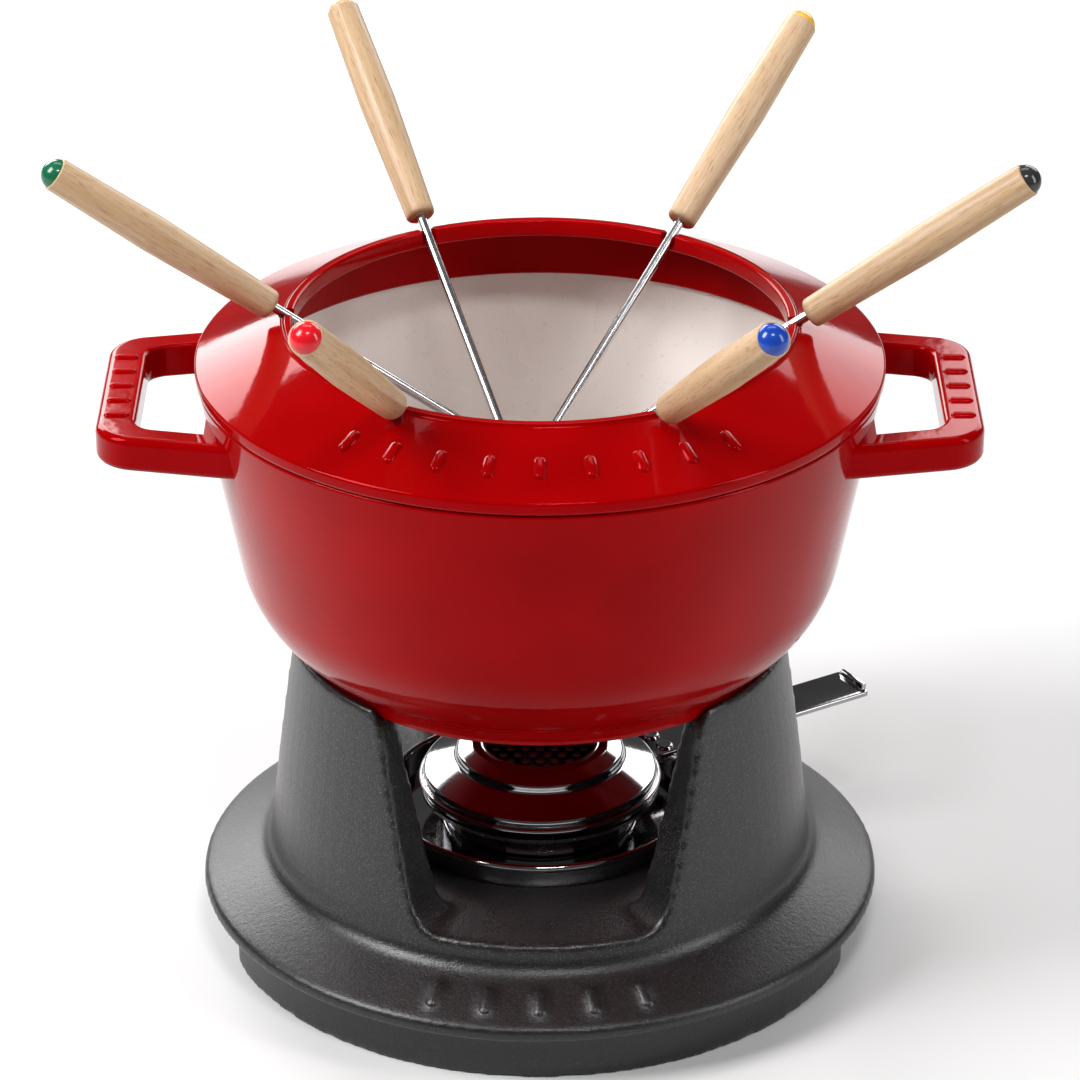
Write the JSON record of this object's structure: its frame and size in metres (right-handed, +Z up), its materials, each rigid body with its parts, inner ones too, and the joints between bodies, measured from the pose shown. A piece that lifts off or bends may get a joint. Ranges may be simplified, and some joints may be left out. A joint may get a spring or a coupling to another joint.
{
  "type": "fondue pot set",
  "caption": "Round cast pot with loop handles and a notched splash ring, on a windowed cast stand with a burner, with slanting wooden-handled forks.",
  "frame": {"origin": "middle of the stand's foot, on the table, below the pot's axis", "axes": "+Z up along the pot's axis, X through the two loop handles, -Y towards the window with the ornament on the flange"},
  "size_m": [0.2936, 0.2665, 0.2595],
  "materials": {
    "cast_iron_black": "matt black enamel on sand-cast iron, fine grit",
    "enamel_red": "glossy red enamel outside, cream enamel inside the pot",
    "polished_steel": "mirror polished",
    "satin_steel": "satin stainless steel",
    "wadding": "pressed mineral fibre",
    "handle_wood": "pale turned hardwood, satin lacquer",
    "button_black": "glossy dome",
    "button_yellow": "glossy dome",
    "button_natural": "lacquered wood dome",
    "button_green": "glossy dome",
    "button_red": "glossy dome",
    "button_blue": "glossy dome"
  },
  "bodies": {
    "stand": {"stand": "cast_iron_black"},
    "pot": {"pot": "enamel_red"},
    "splash_ring": {"splash_ring": "enamel_red"},
    "fork_1": {"fork_1_shaft": "satin_steel", "fork_1_handle": "handle_wood", "fork_1_button": "button_black"},
    "fork_2": {"fork_2_shaft": "satin_steel", "fork_2_handle": "handle_wood", "fork_2_button": "button_yellow"},
    "fork_3": {"fork_3_shaft": "satin_steel", "fork_3_handle": "handle_wood", "fork_3_button": "button_natural"},
    "fork_4": {"fork_4_shaft": "satin_steel", "fork_4_handle": "handle_wood", "fork_4_button": "button_green"},
    "fork_5": {"fork_5_shaft": "satin_steel", "fork_5_handle": "handle_wood", "fork_5_button": "button_red"},
    "fork_6": {"fork_6_shaft": "satin_steel", "fork_6_handle": "handle_wood", "fork_6_button": "button_blue"},
    "burner": {"burner_tray": "polished_steel", "burner_cup": "polished_steel", "burner_retainer": "polished_steel", "burner_wadding": "wadding", "burner_gauze": "satin_steel"},
    "hood": {"burner_hood": "polished_steel"},
    "regulator": {"burner_regulator": "satin_steel", "burner_lever": "polished_steel", "burner_rivets": "polished_steel"}
  },
  "joints": [
    {"name": "pot_lift", "type": "slide", "parent": "stand", "child": "pot", "axis": [0, 0, 1], "range_m": [0, 0.15]},
    {"name": "ring_lift", "type": "slide", "parent": "pot", "child": "splash_ring", "axis": [0, 0, 1], "range_m": [0, 0.12]},
    {"name": "fork_1_draw", "type": "slide", "parent": "splash_ring", "child": "fork_1", "axis": [0.7901, -0.1237, 0.6004], "range_m": [0, 0.12]},
    {"name": "fork_2_draw", "type": "slide", "parent": "splash_ring", "child": "fork_2", "axis": [0.4967, 0.6267, 0.6004], "range_m": [0, 0.12]},
    {"name": "fork_3_draw", "type": "slide", "parent": "splash_ring", "child": "fork_3", "axis": [-0.3265, 0.73, 0.6004], "range_m": [0, 0.12]},
    {"name": "fork_4_draw", "type": "slide", "parent": "splash_ring", "child": "fork_4", "axis": [-0.786, -0.1471, 0.6004], "range_m": [0, 0.12]},
    {"name": "fork_5_draw", "type": "slide", "parent": "splash_ring", "child": "fork_5", "axis": [-0.2722, -0.7519, 0.6004], "range_m": [0, 0.12]},
    {"name": "fork_6_draw", "type": "slide", "parent": "splash_ring", "child": "fork_6", "axis": [0.3329, -0.7271, 0.6004], "range_m": [0, 0.12]},
    {"name": "burner_lift", "type": "slide", "parent": "stand", "child": "burner", "axis": [0, 0, 1], "range_m": [0, 0.034]},
    {"name": "hood_lift", "type": "slide", "parent": "burner", "child": "hood", "axis": [0, 0, 1], "range_m": [0, 0.034]},
    {"name": "regulator_turn", "type": "hinge", "parent": "burner", "child": "regulator", "pos_m": [0, 0, 0.046], "axis": [0, 0, 1], "range_deg": [-17, 14]}
  ]
}
